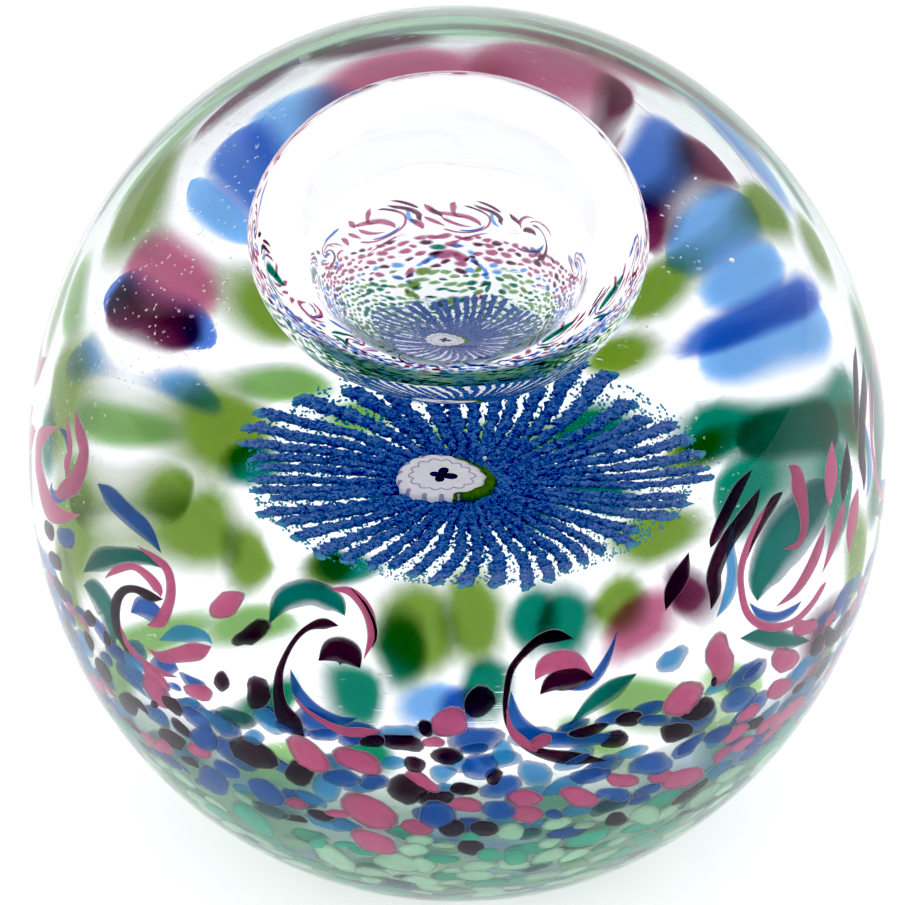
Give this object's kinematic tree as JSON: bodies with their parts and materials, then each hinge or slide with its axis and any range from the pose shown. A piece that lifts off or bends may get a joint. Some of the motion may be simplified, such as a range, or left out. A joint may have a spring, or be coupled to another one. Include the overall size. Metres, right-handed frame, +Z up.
{
  "type": "paperweight",
  "caption": "Round clear art glass paperweight with a trapped air bubble over a blue powder flower and a cup of coloured glass chips, on a flat ground base.",
  "frame": {"origin": "centre of the ground base", "axes": "+Z up through the bubble and the flower, -Y towards the front"},
  "size_m": [0.08, 0.08, 0.0785],
  "materials": {
    "clear_crystal": "polished clear crystal",
    "blue_powder": "granular powdered glass, fused",
    "white_cane": "opaque white cane glass",
    "dark_blue_cane": "opaque dark blue cane glass",
    "lilac_cane": "opaque lilac cane glass",
    "olive_jacket": "translucent olive cane glass",
    "green_powder": "thin translucent powder film",
    "pale_green_glass": "opaline pale green glass",
    "sea_green_glass": "translucent sea green glass",
    "olive_green_glass": "translucent olive green glass",
    "deep_green_glass": "translucent deep green glass",
    "royal_blue_glass": "translucent royal blue glass",
    "sky_blue_glass": "translucent sky blue glass",
    "aubergine_glass": "dense aubergine glass",
    "pink_glass": "opaline pink glass"
  },
  "bodies": {
    "root": {"first_gather": "clear_crystal", "second_gather": "clear_crystal", "third_gather": "clear_crystal", "outer_casing": "clear_crystal", "flower_rays": "blue_powder", "flower_hub": "blue_powder", "centre_cane": "white_cane", "cane_star": "dark_blue_cane", "cane_crimps": "lilac_cane", "cane_jacket": "olive_jacket", "green_wash": "green_powder", "pale_green_chips": "pale_green_glass", "sea_green_chips": "sea_green_glass", "olive_green_chips": "olive_green_glass", "deep_green_chips": "deep_green_glass", "royal_blue_chips": "royal_blue_glass", "sky_blue_chips": "sky_blue_glass", "aubergine_chips": "aubergine_glass", "pink_chips": "pink_glass", "pink_waves": "pink_glass", "teal_waves": "deep_green_glass", "aubergine_waves": "aubergine_glass", "blue_waves": "royal_blue_glass"}
  },
  "joints": []
}
